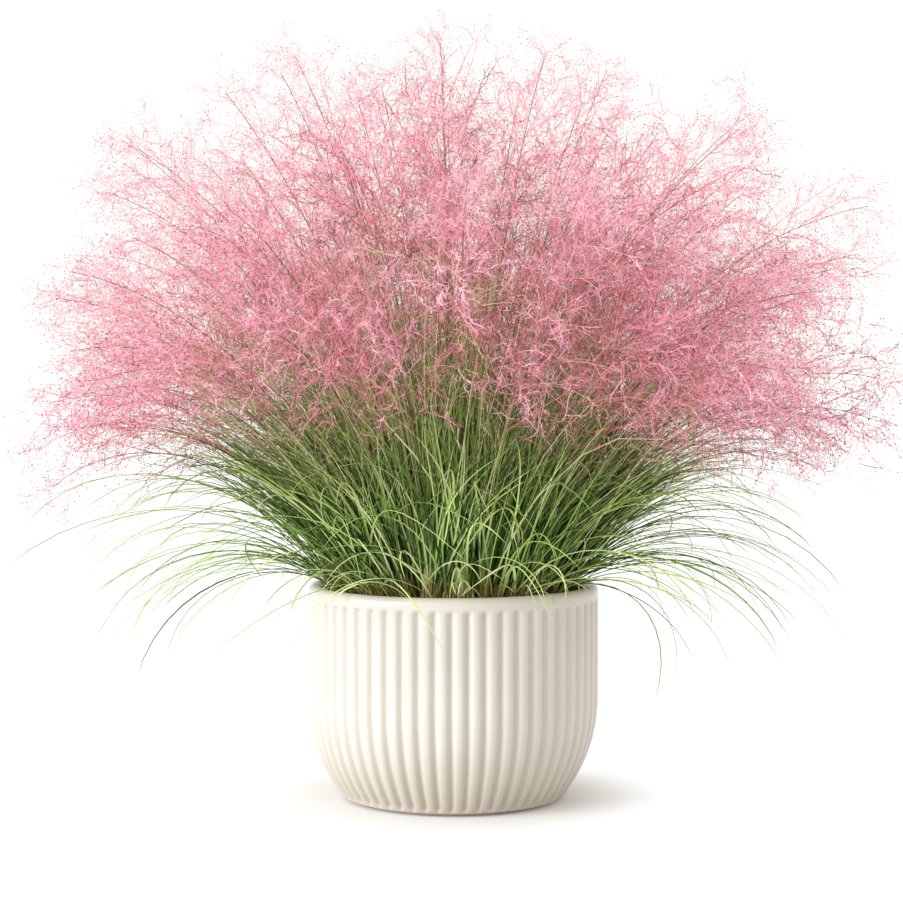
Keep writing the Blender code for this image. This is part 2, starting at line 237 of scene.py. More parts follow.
# Growth lines
def front_share(places):
    """How far places on the unit disc lie to the front or back rather than to a side."""
    return places[..., 1] ** 2 / np.maximum(np.hypot(places[..., 0], places[..., 1]), CLEARANCE)


def line_tilt(places):
    """Tilt, in degrees, of the lines that start at places on the unit disc."""
    widest = math.sin(math.radians(WIDEST_TILT / 2.0))
    place_radius = np.hypot(places[..., 0], places[..., 1])
    tilt = 2.0 * np.degrees(np.arcsin(np.minimum(place_radius * widest, 1.0)))
    return tilt * (1.0 - FRONT_TUCK * front_share(places))


def line_lean(tilt):
    """Lean from upright, in degrees, at a line's foot and tip."""
    foot_lean = tilt * (FOOT_LEAN - FOOT_LEAN_LOSS * tilt)
    return foot_lean, 3.0 * tilt - 2.0 * foot_lean


def line_length(places):
    """Length of a line, so that the tips lie on the plant's domed outline."""
    tilt = line_tilt(places)
    past = np.maximum(tilt - LOW_TILT, 0.0) / LOW_TILT_SPAN
    reach = REACH * (1.0 - LOW_SHORTENING * past ** LOW_POWER)
    reach = reach * (1.0 - FRONT_SHORTENING * front_share(places))
    place_radius = np.hypot(places[..., 0], places[..., 1])
    reach = reach - CLUMP_RADIUS * place_radius * np.sin(np.radians(tilt))
    foot_lean, tip_lean = line_lean(tilt)
    bend = np.radians(tip_lean - foot_lean)
    return reach * (1.0 + BEND_LENGTHENING * bend * bend)


def walk(foot_radius, foot_lean, tip_lean, length, distance, bend=2.0):
    """Radius and height reached along lines that bend outwards."""
    radius = foot_radius + 0.0 * distance
    height = SOIL_LEVEL + CLEARANCE + 0.0 * distance
    step = distance / LINE_STEPS
    for i in range(LINE_STEPS):
        share = (i + 0.5) * step / length
        lean = np.radians(foot_lean + (tip_lean - foot_lean) * share ** bend)
        radius = radius + step * np.sin(lean)
        height = height + step * np.cos(lean)
    return radius, height


def line_points(places, distances):
    """Points at distances along the growth lines that start at places on the unit disc."""
    foot_lean, tip_lean = line_lean(line_tilt(places))
    foot_radius = CLUMP_RADIUS * np.hypot(places[..., 0], places[..., 1])
    radius, height = walk(foot_radius, foot_lean, tip_lean, line_length(places), distances)
    return round_axis(radius, np.arctan2(places[..., 1], places[..., 0]), height)


def round_axis(radius, azimuth, height):
    """Points at a radius and azimuth from the pot's axis and at a height."""
    parts = radius * np.cos(azimuth), radius * np.sin(azimuth), height
    return np.stack(np.broadcast_arrays(*parts), -1)


def smooth_step(value):
    """Ease from 0 to 1."""
    value = np.clip(value, 0.0, 1.0)
    return value * value * (3.0 - 2.0 * value)


def polar(azimuth):
    """The unit vector at an azimuth on the disc."""
    return np.array((math.cos(azimuth), math.sin(azimuth)))


def normalised(vectors):
    """Vectors of length 1."""
    return vectors / np.maximum(np.linalg.norm(vectors, axis=-1, keepdims=True), 1e-9)


def within_disc(places):
    """Places (n, 2), those outside the unit disc moved to its edge."""
    return places / np.maximum(np.hypot(places[:, :1], places[:, 1:]), 1.0)


# Meshes
def add_object(name, data):
    """Put a new object in the scene."""
    made = bpy.data.objects.new(name, data)
    bpy.context.collection.objects.link(made)
    return made


class Skin:
    """Points, faces and map places of one piece, gathered in arrays."""

    def __init__(self):
        self.points, self.corners, self.sizes, self.places = [], [], [], []
        self.count = 0

    def add_points(self, points):
        """Add points (n, 3) and return the number of the first."""
        self.points.append(points)
        self.count += len(points)
        return self.count - len(points)

    def add_faces(self, faces, places):
        """Add faces (m, k) and a map place for each of their corners (m, k, 2)."""
        self.corners.append(faces.ravel())
        self.sizes.append(np.full(len(faces), faces.shape[1]))
        self.places.append(places.reshape(-1, 2))

    def piece(self, name, material, smooth=True):
        """Make the object."""
        mesh = bpy.data.meshes.new(name)
        points = np.concatenate(self.points).astype(np.float32)
        corners = np.concatenate(self.corners).astype(np.int32)
        sizes = np.concatenate(self.sizes)
        starts = np.concatenate(((0,), np.cumsum(sizes)[:-1])).astype(np.int32)
        mesh.vertices.add(len(points))
        mesh.vertices.foreach_set("co", points.ravel())
        mesh.loops.add(len(corners))
        mesh.loops.foreach_set("vertex_index", corners)
        mesh.polygons.add(len(sizes))
        mesh.polygons.foreach_set("loop_start", starts)
        layer = mesh.uv_layers.new(name=UV_NAME)
        layer.uv.foreach_set("vector", np.concatenate(self.places).astype(np.float32).ravel())
        mesh.update(calc_edges=True)
        mesh.validate()
        if smooth:
            mesh.shade_smooth()
        mesh.materials.append(material)
        return add_object(name, mesh)


def map_places(u, v):
    """Places on a piece's map from their two parts."""
    return np.stack(np.broadcast_arrays(u, v), -1)


def corner_places(us, vs, axis=1):
    """Map places of faces from the two parts at each of their corners."""
    return np.stack([map_places(u, v) for u, v in zip(us, vs)], axis)


def ring_faces(rings, around):
    """Quads between closed rings of points."""
    k = np.arange(rings - 1)[:, None]
    i = np.arange(around)[None]
    j = (i + 1) % around
    return np.stack((k * around + i, k * around + j, (k + 1) * around + j,
                     (k + 1) * around + i), -1).reshape(-1, 4)


def fan_faces(hub, first, around):
    """Triangles between a hub and a closed ring of points, given its first one."""
    i = np.arange(around)
    return np.stack((np.full(around, hub), first + i, first + (i + 1) % around), -1)


def add_strips(skin, rows, tips, u, shades):
    """Strips over rows of points (n, k, width, 3) that end in a point at tips (n, 3)."""
    count, steps, width = rows.shape[:3]
    points = np.concatenate((rows.reshape(count, -1, 3), tips[:, None]), 1)
    first = skin.add_points(points.reshape(-1, 3)) + points.shape[1] * np.arange(count)[:, None]
    edges = UV_HALF * np.linspace(-1, 1, width)
    for k in range(steps):
        for j in range(width - 1):
            here, ahead = width * k + j, width * (k + 1) + j
            low, high = edges[j], edges[j + 1]
            if k < steps - 1:
                corners, stations = (here, here + 1, ahead + 1, ahead), (k, k, k + 1, k + 1)
                v = (low, high, high, low)
            else:
                corners, stations = (here, here + 1, width * steps), (k, k, k + 1)
                v = (low, high, 0.5 * (low + high))
            skin.add_faces(first + np.array(corners),
                           map_places(u[list(stations)], shades[:, None] + np.array(v)))


def add_ribbons(skin, lines, widths, sides, u_span, shades):
    """Flat ribbons along lines (n, k, 3). Widths are (k - 1) or (n, k - 1)."""
    count, sections = lines.shape[:2]
    half = 0.5 * np.broadcast_to(widths, (count, sections - 1))[..., None]
    body = lines[:, :-1]
    rows = np.stack((body - half * sides[:, None], body + half * sides[:, None]), 2)
    add_strips(skin, rows, lines[:, -1], np.linspace(*u_span, sections), shades)


def add_seeds(skin, feet, tips, sides, stalk_width, seed_width, seed_share, u_span, shades):
    """Hair-thin stalks with a seed head at the end: one triangle and one kite each."""
    count = len(feet)
    neck = feet + (tips - feet) * (1.0 - seed_share)[:, None]
    belly = feet + (tips - feet) * (1.0 - 0.55 * seed_share)[:, None]
    stalk, seed = 0.5 * stalk_width * sides, 0.5 * seed_width[:, None] * sides
    points = np.stack((feet - stalk, feet + stalk, neck, belly - seed, belly + seed, tips), 1)
    first = skin.add_points(points.reshape(-1, 3)) + 6 * np.arange(count)[:, None]
    u_foot, u_neck, u_tip = u_span
    u_belly = 0.5 * (u_neck + u_tip)
    low, high = shades - UV_HALF, shades + UV_HALF
    skin.add_faces(first + np.array((0, 1, 2)),
                   corner_places((u_foot, u_foot, u_neck), (low, high, shades)))
    skin.add_faces(first + np.array((2, 4, 5, 3)),
                   corner_places((u_neck, u_belly, u_tip, u_belly), (shades, high, shades, low)))


def add_tube(skin, line, radii, u, shade):
    """A thin round stem along a line (k, 3)."""
    along = normalised(np.gradient(line, axis=0))
    side = normalised(np.cross(along, np.array((0.3, 0.5, 0.1)) + 0.0 * along))
    normal = np.cross(side, along)
    corner = np.arange(STEM_CORNERS)
    angles = FULL_TURN * corner / STEM_CORNERS
    ring = (np.cos(angles)[None, :, None] * side[:, None]
            + np.sin(angles)[None, :, None] * normal[:, None])
    points = line[:, None] + ring * radii[:, None, None]
    first = skin.add_points(points.reshape(-1, 3))
    u0, u1 = np.repeat(u[:-1], STEM_CORNERS), np.repeat(u[1:], STEM_CORNERS)
    v0 = shade + UV_HALF * (2.0 * np.tile(corner, len(line) - 1) / STEM_CORNERS - 1.0)
    v1 = v0 + 2.0 * UV_HALF / STEM_CORNERS
    skin.add_faces(first + ring_faces(len(line), STEM_CORNERS),
                   corner_places((u0, u0, u1, u1), (v0, v1, v1, v0)))


def add_blades(skin, lines, widths, sides, shades, fold):
    """Narrow leaves with a folded middle along lines (n, k, 3)."""
    along = normalised(np.gradient(lines, axis=1))
    across = normalised(sides - along * np.sum(along * sides, -1, keepdims=True))
    normal = np.cross(across, along)
    share = np.linspace(0.0, 1.0, lines.shape[1])
    taper = np.minimum(0.55 + 1.6 * share, 1.0 - 0.75 * share ** 2.6)[None, :-1, None]
    half = 0.5 * widths[:, None, None] * taper
    body = lines[:, :-1]
    low = body - fold * half * normal[:, :-1]
    rows = np.stack((body - half * across[:, :-1], low, body + half * across[:, :-1]), 2)
    add_strips(skin, rows, lines[:, -1], share, shades)


# Directions and lines of fine parts
def grow(rng, feet, headings, lengths, segments, droop, wave):
    """Lines (n, segments + 1, 3) that start at feet, nod under their weight and waver."""
    lines = [feet]
    heading = normalised(headings)
    step = (lengths / segments)[:, None]
    for k in range(segments):
        sag = droop * (k + 0.5) / segments
        heading = normalised(heading - sag * UP + wave * rng.normal(size=feet.shape))
        lines.append(lines[-1] + step * heading)
    return np.stack(lines, 1)


def turned(along, angle, azimuth):
    """Directions at an angle from along, at an azimuth round it."""
    side = normalised(np.cross(along, np.array((0.21, -0.37, 0.9))))
    other = np.cross(along, side)
    across = np.cos(azimuth)[:, None] * side + np.sin(azimuth)[:, None] * other
    return normalised(np.cos(angle)[:, None] * along + np.sin(angle)[:, None] * across)


def random_sides(rng, along):
    """A random direction across each line."""
    return normalised(np.cross(along, rng.normal(size=along.shape)))


def along_lines(lines, number, share):
    """Points and directions at a share of the length of the numbered lines."""
    segments = lines.shape[1] - 1
    place = np.clip(share, 0.0, 0.9999) * segments
    k = place.astype(int)
    a, b = lines[number, k], lines[number, k + 1]
    return a + (b - a) * (place - k)[:, None], normalised(b - a)


def at_distance(line, stations, distance):
    """Points at distances along a line (k, 3) whose own points lie at stations."""
    return np.stack([np.interp(distance, stations, line[:, c]) for c in range(3)], -1)


# Flower sprays
def plume_width(share):
    """Half width of a flower head, as a share of its widest, along its length."""
    return np.interp(share, (0.0, 0.15, 0.35, 0.55, 0.8, 1.0), (0.45, 0.8, 1.0, 0.95, 0.62, 0.3))


def dry_shades(shades, dry):
    """Shades, where those of dry parts are among the paler ones."""
    return np.where(dry, np.interp(shades, (0.0, 1.0), DRY_SHADES), shades)


def add_threads(skin, lines, widths, sides, u_span, shades, dry):
    """Branches or twigs, where the dry ones have the colours of pale stems."""
    shades = dry_shades(shades, dry)
    for some, span in ((~dry, u_span), (dry, DRY_SPAN)):
        if some.any():
            add_ribbons(skin, lines[some], widths[some], sides[some], span, shades[some])


def back_middle(place):
    """How far a place lies behind the middle of the plant."""
    x, y = map(float, place)
    return max(y, 0.0) * math.exp(-(x / BACK_WIDTH) ** 2)


def head_start(place, late):
    """Where flower heads start, later at the plant's edge and where the front parts."""
    x, y = map(float, place)
    gap = math.exp(-((x - GAP_PLACE) / GAP_WIDTH) ** 2) * (y < GAP_BACK)
    front = max(-y, 0.0) ** 1.5
    return (PLUME_START + LATE_START * late * (1.0 - front) + GAP_START * gap
            - FRONT_HANG * front * (1.0 - gap)
            - BACK_HANG * back_middle(place) * (1.0 - 0.8 * late))


def head_thinning(place, late):
    """The share of its branches that a flower head lacks for its place in the plant."""
    x = float(place[0])
    aside = abs(x)
    thinning = EDGE_THINNING * late + SIDE_THINNING[int(x > 0.0)] * aside ** 8
    thinning += TOP_THINNING * (1.0 - late) ** 2 - MIDDLE_FILL * math.sin(math.pi * aside)
    thinning -= RIGHT_FILL * max(math.sin(math.pi * x), 0.0)
    return thinning - BACK_FILL * back_middle(place)


def add_panicle(skin, rng, line, stations, length, shade, place):
    """One airy flower head on the upper part of a stem."""
    late = float(np.hypot(*place)) ** 2
    start = length * (head_start(place, late) + rng.uniform(*HEAD_START_SPREAD))
    fullness = rng.uniform(*FULLNESS)
    count = int(rng.integers(*BRANCHES) * (1.0 - head_thinning(place, late)))
    share = np.sort((np.arange(count) + rng.uniform(0, 1, count)) / count)
    lowness = 0.92 + 0.40 * (1.0 - late) + 0.12 * back_middle(place)
    distance = start + (length - start) * share ** lowness * 0.985
    feet = at_distance(line, stations, distance)
    along = normalised(at_distance(line, stations, distance + 0.01)
                       - at_distance(line, stations, distance - 0.01))
    azimuth = BRANCH_TURN * np.arange(count) + rng.uniform(0, 6.3) + rng.normal(0, 0.3, count)
    angle = np.radians(rng.uniform(*BRANCH_ANGLES, count))
    reach = fullness * LOCK_REACH * plume_width(share) * rng.uniform(*FULLNESS, count)
    branch_length = np.minimum(reach / np.sin(angle), (length - distance) * 0.88 + 0.026)
    heading = turned(along, angle, azimuth)
    branches = grow(rng, feet, heading, branch_length, BRANCH_SEGMENTS, 0.16, 0.10)

    # Painted shade: branches low in a head and inside the plant get darker shades, and the inner
    # ones are widened, so they stand for the shadow deep in the haze; shades rise towards the
    # heads' outer ends.
    depth = 0.55 * (share - 0.47) - 0.10 * (late - 0.45)
    depth = depth + 0.25 * (1.0 - late) * np.clip(share / 0.3 - 2.0, 0.0, 1.0)
    inside = (1.0 - late) * np.clip(1.0 - share / 0.5, 0.0, 1.0)
    depth = depth - 0.15 * inside
    dryness = DRY_SHARE * (1.0 - 0.4 * late) * np.clip(1.0 - share / DRY_END, 0.0, 1.0)
    dry = np.arange(count) * DRY_STEP % 1.0 < dryness
    bulk = (1.03 + 0.10 * late + 0.2 * inside) * (1.0 - 0.2 * dry)
    branch_shade = np.clip(shade + rng.normal(0, BRANCH_NOISE, count) + depth, 0.02, 0.97)
    widths = bulk[:, None] * np.linspace(*BRANCH_WIDTHS, BRANCH_SEGMENTS) * MILLIMETRE
    add_threads(skin, branches, widths, random_sides(rng, heading), BRANCH_SPAN, branch_shade,
                dry)

    number = np.repeat(np.arange(count), TWIGS)
    twigs, twig_shade = add_twigs(skin, rng, branches, number, branch_length, bulk[number],
                                  branch_shade, dry[number])
    add_seed_heads(skin, rng, twigs, twig_shade, bulk[number], dry[number], late)


def add_twigs(skin, rng, branches, number, branch_length, bulk, branch_shade, dry):
    """Twigs along the numbered branches."""
    total = len(number)
    spot = np.tile(np.arange(TWIGS), total // TWIGS) + rng.uniform(0.1, 0.9, total)
    spot = 0.16 + 0.84 * (spot / TWIGS)
    feet, along = along_lines(branches, number, spot)
    heading = turned(along, np.radians(rng.uniform(*TWIG_ANGLES, total)),
                     rng.uniform(0, FULL_TURN, total))
    length = (branch_length[number] * rng.uniform(*TWIG_SHARES, total)
              * (1.15 - 0.55 * spot)).clip(*TWIG_LIMITS)
    twigs = grow(rng, feet, heading, length, TWIG_SEGMENTS, 0.10, 0.36)
    shade = np.clip(branch_shade[number] + rng.normal(0, SHADE_NOISE, total), *SHADE_LIMITS)
    widths = bulk[:, None] * np.array(TWIG_WIDTHS) * MILLIMETRE
    add_threads(skin, twigs, widths, random_sides(rng, heading), TWIG_SPAN, shade, dry)
    return twigs, shade


def add_seed_heads(skin, rng, twigs, twig_shade, bulk, dry, late):
    """Stalked seed heads along all twigs."""
    seeds = len(twigs) * SEEDS
    number = np.repeat(np.arange(len(twigs)), SEEDS)
    spot = (np.tile(np.arange(SEEDS), len(twigs)) + rng.uniform(0.2, 1.0, seeds)) / SEEDS
    feet, along = along_lines(twigs, number, spot)
    heading = turned(along, np.radians(rng.uniform(*SEED_ANGLES, seeds)),
                     rng.uniform(0, FULL_TURN, seeds))
    stalk = rng.uniform(*STALK_LENGTHS, seeds)
    tips = feet + heading * stalk[:, None]
    shade = twig_shade[number] + rng.normal(0, SHADE_NOISE, seeds) + 0.30 * (0.55 - late)
    dry = dry[number]
    shade = dry_shades(np.clip(shade, *SHADE_LIMITS), dry)
    u_span = [np.where(dry, tan, pink) for tan, pink in zip(DRY_SEED_SPAN, SEED_SPAN)]
    add_seeds(skin, feet, tips, random_sides(rng, heading), STALK_WIDTH * bulk[number][:, None],
              rng.uniform(*SEED_WIDTHS, seeds) * (0.72 + 0.42 * late), SEED_LENGTH / stalk,
              u_span, shade)


def add_stem(skin, rng, spray_place, place, wander, share):
    """One flower stem with its flower head, whose hairs end about where the solid does."""
    length = STEM_SHARE * share * float(line_length(place))
    stations = length * np.linspace(0.0, 1.0, STEM_SECTIONS) ** 0.9
    fork = smooth_step(stations / FORK_HEIGHT)[:, None]
    places = place + wander * (stations / length)[:, None]
    line = line_points(spray_place + (places - spray_place) * fork, stations)
    part = stations / length
    radii = CULM_RADIUS + (TIP_RADIUS - CULM_RADIUS) * part
    u = np.where(part < PLUME_START, CULM_SPAN * part / PLUME_START,
                 CULM_SPAN + HEAD_SPAN * (part - PLUME_START) / (1.0 - PLUME_START))
    add_tube(skin, line, radii, u, rng.uniform(*CULM_SHADES))
    add_panicle(skin, rng, line, stations, length, rng.uniform(*HEAD_SHADES), place)


def add_bare_culms(skin, rng, spray_place):
    """Thin culms and dry blades that fill the inside of the haze."""
    aside = abs(float(spray_place[0]))
    count = int(BARE_CULMS * (1.0 - 0.75 * aside ** 2))
    places = within_disc(spray_place + rng.normal(0, 0.13, (count, 2)))
    length = line_length(places) * rng.uniform(*BARE_SHARES, count)
    share = np.linspace(0.0, 1.0, BARE_SECTIONS)
    places = places[:, None] + rng.normal(0, 0.10, (count, 1, 2)) * (share ** 2)[None, :, None]
    lines = line_points(places, length[:, None] * share)
    along = normalised(lines[:, -1] - lines[:, 0])
    widths = rng.uniform(*BARE_WIDTHS, (count, 1)) * np.linspace(1.0, 0.5, BARE_SECTIONS - 1)
    middle = math.exp(-(aside / 0.25) ** 2)
    shades = rng.uniform(*SHADE_LIMITS, count) ** (1.0 - 0.5 * max(middle, aside ** 2))
    add_ribbons(skin, lines, widths, random_sides(rng, along), BARE_SPAN, shades)


def make_sprays(material):
    """All flower sprays, with the draws of the solids and an extra stem beside each stem."""
    chance = random.Random(SEED)
    extra = random.Random(EXTRA_SEED)
    number = 0
    for ring, sprays in enumerate(SPRAY_RINGS):
        pitch = FULL_TURN / (STEMS_PER_SPRAY * sprays)
        ring_place = (ring + 0.5) / len(SPRAY_RINGS)
        for i in range(sprays):
            number += 1
            rng = np.random.default_rng((DETAIL_SEED, number))
            first = math.radians(RING_TURNS[ring]) + STEMS_PER_SPRAY * i * pitch
            places = [ring_place * polar(first + k * pitch) for k in range(STEMS_PER_SPRAY)]
            spray_place = sum(places) / STEMS_PER_SPRAY
            skin = Skin()
            for place in places:
                wander = STEM_WANDER * polar(chance.uniform(0.0, FULL_TURN))
                add_stem(skin, rng, spray_place, place, wander,
                         chance.uniform(SHORTEST_STEM, LONGEST_STEM))
                shift = polar(extra.uniform(0.0, FULL_TURN))
                near = place + shift * extra.uniform(*EXTRA_SHIFT)
                near *= min(1.0, EXTRA_EDGE / np.hypot(*near))
                add_stem(skin, rng, spray_place, near, wander, extra.uniform(*EXTRA_SHARES))
            add_bare_culms(skin, rng, spray_place)
            node = f"flower_spray_{number:02d}"
            piece = skin.piece(f"{node}_plumes", material, smooth=False)
            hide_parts(node)
            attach(piece, "root")


# Leaves
def outer_leaf_length(azimuth):
    """Arching leaves are longest at the plant's sides and short in front."""
    sideways = np.abs(np.cos(azimuth))
    across = np.where(np.sin(azimuth) < 0.0, FRONT_LEAF_LENGTH, BACK_LEAF_LENGTH)
    return across + (SIDE_LEAF_LENGTH - across) * sideways


def make_inner_tuft(rng, ring_place, azimuth):
    """Upright leaves among the sprays."""
    skin = Skin()
    middle = float(ring_place < 0.5)
    count = int(INNER_BLADES * (1.0 + 0.4 * middle))
    spread = rng.normal(0, 0.42, count) / ring_place * 0.45
    blade_azimuth = azimuth + spread
    ring = np.clip(ring_place + rng.uniform(-0.28, 0.24, count), 0.02, 1.12)
    foot = round_axis(ring, blade_azimuth, 0.0)[:, :2]
    place = within_disc(foot + rng.normal(0, 0.17, (count, 2)))
    length = INNER_BLADE_LENGTH * rng.uniform(0.50, 1.0, count) ** (0.6 - 0.3 * middle)
    length *= 1.0 + 0.15 * middle
    share = np.linspace(0, 1, INNER_SECTIONS)
    mixed = foot[:, None] + (place - foot)[:, None] * smooth_step(share)[None, :, None]
    lines = line_points(mixed, length[:, None] * share)
    lines[..., :2] += rng.normal(0, 0.024, (count, 2))[:, None] * (share ** 2)[None, :, None]
    sides = round_axis(1.0, rng.uniform(0, FULL_TURN, count), 0.0)[:, None]
    shades = rng.uniform(0.05 + 0.25 * middle, 1.0, count)
    add_blades(skin, lines, rng.uniform(*BLADE_WIDTHS, count), sides, shades, INNER_FOLD)
    return skin


def arch(shares, *leaves):
    """Radius, turn and height at shares of the length of leaves that bend outwards.

    Leaves are foot radii, foot and tip leans, lengths, bends and how far each swings aside.
    """
    foot_radius, foot_lean, tip_lean, length, bend, swing = [each[:, None] for each in leaves]
    radius, height = walk(foot_radius, foot_lean, tip_lean, length, length * shares, bend)
    out = radius - foot_radius
    ahead, aside = foot_radius + out * np.cos(swing), out * np.sin(swing)
    return np.hypot(ahead, aside), np.arctan2(aside, ahead), height


def clear_rim(foot_radius, foot_lean, tip_lean, length, bend, swing):
    """The foot leans, made steeper where probes find a leaf's middle line in the pot's rim."""
    shares = np.linspace(0.05, 1.0, RIM_PROBES)
    for _ in range(RIM_TRIES):
        radius, _, height = arch(shares, foot_radius, foot_lean, tip_lean, length, bend, swing)
        over_rim = (radius > MOUTH_RADIUS - RIM_GAP) & (radius < POT_RADIUS + RIM_GAP)
        low = over_rim & (height < POT_HEIGHT + RIM_GAP)
        foot_lean = foot_lean - RIM_STEP * low.any(1)
    return foot_lean


def add_outward(skin, rng, azimuths, foot_azimuths, foot_radius, leans, length, widths, shades,
                bend, sway, swing):
    """Leaves that start inside the rim and bend outwards from a foot lean to a tip lean."""
    count = len(length)
    share = np.linspace(0, 1, OUTER_SECTIONS)
    foot_lean = clear_rim(foot_radius, *leans, length, bend, swing)
    radius, turn, height = arch(share, foot_radius, foot_lean, leans[1], length, bend, swing)
    turn = turn + foot_azimuths[:, None] + (azimuths - foot_azimuths)[:, None] * share
    turn = turn + rng.normal(0, sway, count)[:, None] * share ** 2
    lines = round_axis(radius, turn, height)
    twist = rng.normal(0, 0.5, count)[:, None] * share + rng.normal(0, 0.3, count)[:, None]
    heading = turn[:, :1] + swing[:, None]
    out = round_axis(1.0, heading, 0.0)
    level = np.stack((-np.sin(heading), np.cos(heading), 0 * heading), -1)
    sides = level * np.cos(twist)[..., None] + out * np.sin(twist)[..., None]
    add_blades(skin, lines, widths, sides, shades, OUTER_FOLD)


def add_standing(skin, rng, azimuth):
    """Leaves that lean outward."""
    count = int(OUTER_BLADES * (1.0 - SIDE_SPARSENESS * abs(math.cos(azimuth))))
    turns = azimuth + np.radians(rng.uniform(-20, 20, count))
    feet = azimuth + np.radians(rng.uniform(-18, 18, count))
    foot_radius = OUTER_TUFT_RADIUS * np.sqrt(rng.uniform(0.30, 1.08, count))
    sideways = np.abs(np.cos(turns))
    reach = rng.uniform(0, 1, count) ** 1.25
    foot_lean = 4 + 6 * sideways + (18 + 16 * sideways) * reach + rng.normal(0, 4, count)
    tip_lean = foot_lean + 10 + (24 + 14 * sideways) * rng.uniform(0, 1, count)
    length = outer_leaf_length(turns) * rng.uniform(0.46, 0.84, count)
    front = max(-math.sin(azimuth), 0.0) ** 6
    length *= 1.0 + 0.50 * front * (1.0 - reach)
    widths = rng.uniform(*BLADE_WIDTHS, count)
    shades = rng.uniform(0.05 + 0.25 * front, 1.0, count)
    add_outward(skin, rng, turns, feet, foot_radius, (foot_lean, tip_lean), length, widths,
                shades, np.full(count, 2.0), 0.24, np.zeros(count))


def add_arching(skin, rng, azimuth):
    """Longer leaves that arch over the rim like a fountain. Returns how far each swings aside."""
    sideways = abs(math.cos(azimuth))
    count = int(ARCHING_BLADES[0] + (ARCHING_BLADES[1] - ARCHING_BLADES[0]) * sideways)
    turns = azimuth + np.radians(rng.uniform(-19, 19, count))
    feet = azimuth + np.radians(rng.uniform(-16, 16, count))
    sideways = np.abs(np.cos(turns)) ** 0.7
    reach = rng.uniform(0, 1, count)
    foot_lean = (6 + 20 * sideways) + (16 + 24 * sideways) * reach
    tip_lean = rng.uniform(105 + 10 * sideways, 152, count) + 16 * sideways * reach
    length = outer_leaf_length(turns) * rng.uniform(0.80, 1.10, count)
    length *= 0.78 + 0.26 * sideways - rng.uniform(0.05, 0.50, count) * sideways * reach
    swing = rng.uniform(-1, 1, count)
    swing = (0.5 * np.sign(swing) + 0.9 * swing) * (1.0 - sideways)
    foot_radius = OUTER_TUFT_RADIUS * rng.uniform(0.70, 1.04, count)
    widths = rng.uniform(*ARCHING_WIDTHS, count)
    pale = 1.0 - abs(math.cos(azimuth))
    shades = rng.uniform(0.45 + 0.15 * pale, 0.82 + 0.14 * pale, count)
    bend = rng.uniform(1.5, 2.6, count) - 1.0 * reach * sideways
    add_outward(skin, rng, turns, feet, foot_radius, (foot_lean, tip_lean), length, widths,
                shades, bend, 0.16, swing)
    return swing


def add_drooping(skin, rng, azimuth, side):
    """Short pale leaves that hang over the rim in front, each to its side, 1 or -1."""
    count = len(side)
    turns = azimuth + np.radians(rng.uniform(-18, 18, count))
    leans = rng.uniform(8, 36, count), rng.uniform(130, 172, count)
    length = 0.06 + 0.16 * rng.uniform(0, 1, count) ** 1.6
    foot_radius = rng.uniform(0.100, 0.124, count)
    widths = rng.uniform(*ARCHING_WIDTHS, count)
    shades = rng.uniform(0.90, 1.0, count)
    bend = rng.uniform(1.0, 1.7, count)
    swing = 0.5 * side + rng.uniform(-0.7, 0.7, count)
    add_outward(skin, rng, turns, turns, foot_radius, leans, length, widths, shades, bend, 0.20,
                swing)


def make_outer_tuft(rng, azimuth):
    """Leaves at the clump's edge."""
    skin = Skin()
    add_standing(skin, rng, azimuth)
    swing = add_arching(skin, rng, azimuth)
    if math.sin(azimuth) < DROOPING_FROM:
        add_drooping(skin, rng, azimuth, np.sign(swing[:DROOPING_BLADES]))
    return skin


def make_leaves(material):
    """All leaf tufts."""
    tufts = [(ring_place, math.radians(turn)) for ring_place, turns in INNER_TUFTS
             for turn in turns]
    tufts += [(None, FULL_TURN * (i + 0.5) / OUTER_TUFTS) for i in range(OUTER_TUFTS)]
    for number, (ring_place, azimuth) in enumerate(tufts, 1):
        rng = np.random.default_rng((DETAIL_SEED, LEAF_DRAWS + number))
        if ring_place is None:
            skin = make_outer_tuft(rng, azimuth)
        else:
            skin = make_inner_tuft(rng, ring_place, azimuth)
        node = f"leaf_tuft_{number:02d}"
        piece = skin.piece(f"{node}_blades", material)
        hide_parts(node)
        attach(piece, "root")


# Pot and soil
def outer_radius(height):
    """The pot's outside over the ribs."""
    rise = np.minimum(height / BELLY_HEIGHT, 1.0)
    return FOOT_RADIUS + (POT_RADIUS - FOOT_RADIUS) * (1.0 - (1.0 - rise) ** BELLY_ROUNDING)


def pot_profile():
    """The pot's outline, from under its foot over the rim to its floor, and its fluted part."""
    levels = np.concatenate([np.linspace(*span) for span in WALL_LEVELS])
    wall = tuple((float(outer_radius(z)), float(z)) for z in levels)
    centre = (POT_RADIUS - LIP_RADIUS, POT_HEIGHT - LIP_RADIUS)
    sweep = [math.radians(angle) for angle in np.linspace(*LIP_SWEEP)]
    rim = tuple((centre[0] + LIP_RADIUS * math.cos(a), centre[1] + LIP_RADIUS * math.sin(a))
                for a in sweep)
    fluted = slice(len(UNDERSIDE), len(UNDERSIDE) + len(wall))
    return np.array(UNDERSIDE + wall + rim + INSIDE), fluted


def flute_shape(around):
    """How deep the flutes are at each point around the pot, from 0 to 1."""
    phase = (np.arange(around) % POINTS_PER_FLUTE) / POINTS_PER_FLUTE
    phase = np.minimum(phase, 1.0 - phase)
    groove = np.exp(-(phase / (0.5 * GROOVE_WIDTH)) ** 2 * GROOVE_SHARPNESS)
    groove = (groove - groove.min()) / (groove.max() - groove.min())
    rib = RIB_ROUNDING * (phase / 0.5 - 1.0) ** 2
    return np.maximum(groove, rib * (1.0 - groove) + groove)


